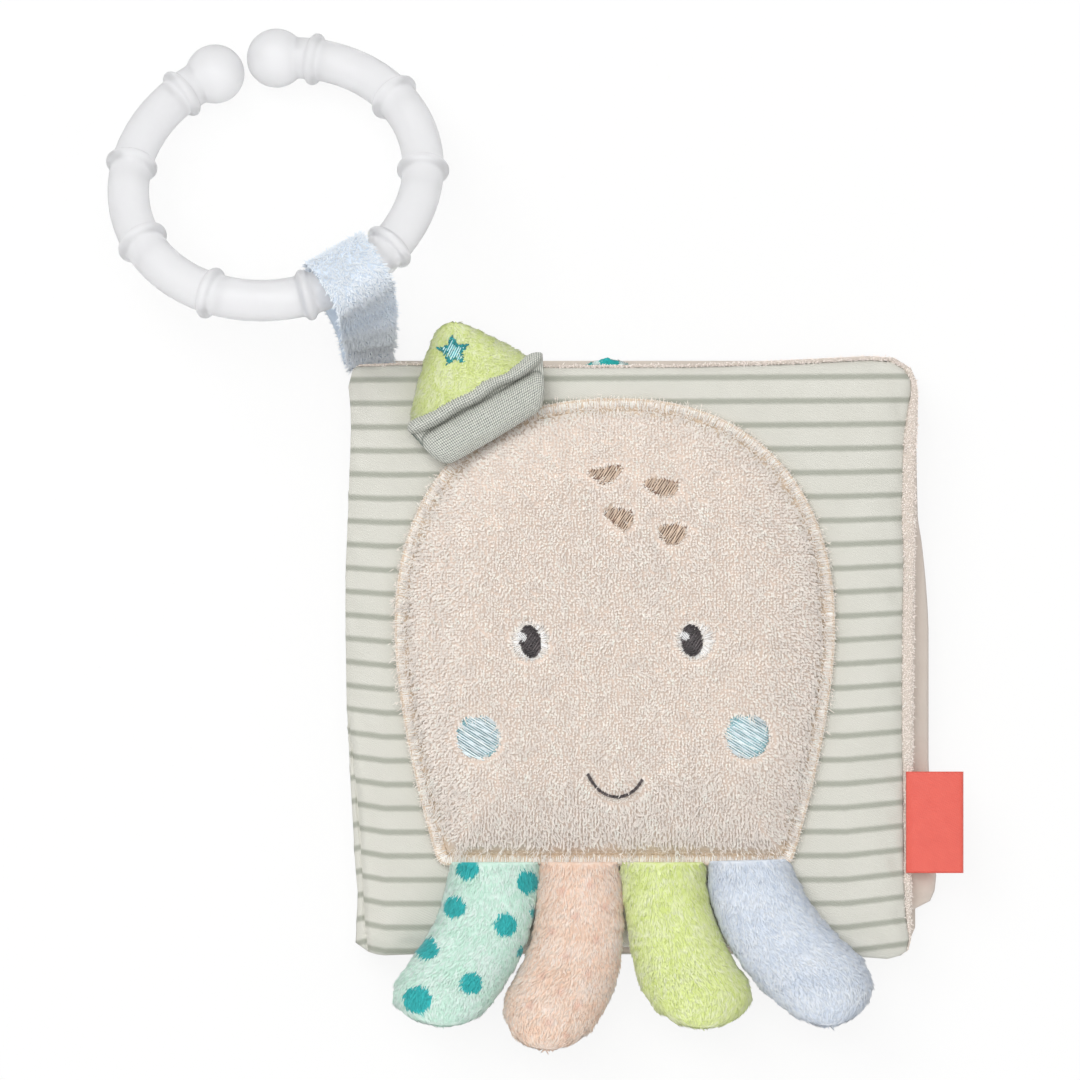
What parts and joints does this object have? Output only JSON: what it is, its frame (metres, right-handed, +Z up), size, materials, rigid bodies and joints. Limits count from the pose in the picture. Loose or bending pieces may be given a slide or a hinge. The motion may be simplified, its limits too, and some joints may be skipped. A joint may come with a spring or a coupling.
{
  "type": "crinkle cloth book",
  "caption": "Soft cloth baby book with padded striped covers, crinkle film inside, a stuffed sea creature with hanging arms on the front, and a clip ring on a strap.",
  "frame": {"origin": "middle of the back cover's flat underside", "axes": "+Z up out of the front cover, +X from the spine to the open edge, +Y to the top of the page"},
  "size_m": [0.167, 0.1992, 0.0457],
  "materials": {
    "striped_cotton": "cotton sateen, pale sage with darker woven stripes",
    "cream_cotton": "plain woven cotton",
    "wadding": "polyester fibre wadding",
    "crinkle_film": "thin clear film",
    "beige_terry": "loop pile terry",
    "edge_thread": "overcast stitching in matt thread",
    "white_thread": "embroidery thread with a soft sheen",
    "dark_thread": "embroidery thread with a soft sheen",
    "brown_thread": "embroidery thread with a soft sheen",
    "blue_thread": "embroidery thread with a soft sheen",
    "teal_thread": "embroidery thread with a soft sheen",
    "mint_plush": "short plush with teal dots",
    "peach_plush": "short plush with faint pink flecks",
    "lime_plush": "short plush",
    "blue_plush": "short plush",
    "blue_velour": "short velour",
    "linen": "open plain weave",
    "red_tape": "woven tape with a fine twill",
    "clear_plastic": "moulded, clouded clear plastic"
  },
  "bodies": {
    "back_cover": {"back_cover_fabric": "striped_cotton", "back_cover_wadding": "wadding", "back_cover_crinkle_film": "crinkle_film", "back_cover_lining": "cream_cotton"},
    "page": {"page_back_fabric": "cream_cotton", "page_wadding": "wadding", "page_crinkle_film": "crinkle_film", "page_front_fabric": "cream_cotton", "spine_back_half": "striped_cotton"},
    "tab": {"page_tab": "mint_plush"},
    "front_cover": {"front_cover_lining": "cream_cotton", "front_cover_crinkle_film": "crinkle_film", "front_cover_wadding": "wadding", "front_cover_fabric": "striped_cotton", "spine_front_half": "striped_cotton", "head_terry": "beige_terry", "head_filling": "wadding", "head_edge_stitch": "edge_thread", "eye_white_left": "white_thread", "eye_white_right": "white_thread", "pupil_left": "dark_thread", "pupil_right": "dark_thread", "cheek_left": "blue_thread", "cheek_right": "blue_thread", "forehead_spot_1": "brown_thread", "forehead_spot_2": "brown_thread", "forehead_spot_3": "brown_thread", "forehead_spot_4": "brown_thread", "mouth_stitch": "dark_thread"},
    "arm_mint": {"arm_mint_cover": "mint_plush", "arm_mint_filling": "wadding"},
    "arm_peach": {"arm_peach_cover": "peach_plush", "arm_peach_filling": "wadding"},
    "arm_lime": {"arm_lime_cover": "lime_plush", "arm_lime_filling": "wadding"},
    "arm_blue": {"arm_blue_cover": "blue_plush", "arm_blue_filling": "wadding"},
    "hat": {"hat_crown": "lime_plush", "hat_filling": "wadding", "hat_brim": "linen", "hat_star": "teal_thread"},
    "label": {"side_label": "red_tape"},
    "strap": {"strap_loop": "blue_velour"},
    "ring": {"clip_ring": "clear_plastic"}
  },
  "joints": [
    {"name": "page_turn", "type": "hinge", "parent": "back_cover", "child": "page", "pos_m": [-0.0565, 0, 0.0111], "axis": [0, 1, 0], "range_deg": [-160, 0], "deforming": ["spine_back_half"]},
    {"name": "cover_open", "type": "hinge", "parent": "page", "child": "front_cover", "pos_m": [-0.0565, 0, 0.0143], "axis": [0, -1, 0], "range_deg": [0, 175], "deforming": ["spine_front_half"]},
    {"name": "arm_mint_lift", "type": "hinge", "parent": "front_cover", "child": "arm_mint", "pos_m": [-0.02606, -0.04, 0.0202], "axis": [-1, 0, 0], "range_deg": [0, 90]},
    {"name": "arm_peach_lift", "type": "hinge", "parent": "front_cover", "child": "arm_peach", "pos_m": [-0.00944, -0.04, 0.0202], "axis": [-1, 0, 0], "range_deg": [0, 90]},
    {"name": "arm_lime_lift", "type": "hinge", "parent": "front_cover", "child": "arm_lime", "pos_m": [0.00694, -0.04, 0.0202], "axis": [-1, 0, 0], "range_deg": [0, 90]},
    {"name": "arm_blue_lift", "type": "hinge", "parent": "front_cover", "child": "arm_blue", "pos_m": [0.02356, -0.04, 0.0202], "axis": [-1, 0, 0], "range_deg": [0, 90]},
    {"name": "hat_lift", "type": "hinge", "parent": "front_cover", "child": "hat", "pos_m": [-0.02642, 0.04444, 0.02447], "axis": [0.8949, 0.4462, 0], "range_deg": [0, 60]},
    {"name": "label_bend", "type": "hinge", "parent": "front_cover", "child": "label", "pos_m": [0.0545, -0.0315, 0.015], "axis": [0, -1, 0], "range_deg": [-10, 80]},
    {"name": "tab_bend", "type": "hinge", "parent": "page", "child": "tab", "pos_m": [-0.0041, 0.0523, 0.00865], "axis": [1, 0, 0], "range_deg": [-12, 12]},
    {"name": "strap_bend", "type": "hinge", "parent": "back_cover", "child": "strap", "pos_m": [-0.051, 0.0611, 0.003], "axis": [1, 0, 0], "range_deg": [0, 25]},
    {"name": "ring_swing", "type": "hinge", "parent": "strap", "child": "ring", "pos_m": [-0.05396, 0.0745, 0.03784], "axis": [0.8517, 0.4852, -0.1981], "range_deg": [0, 180]}
  ]
}
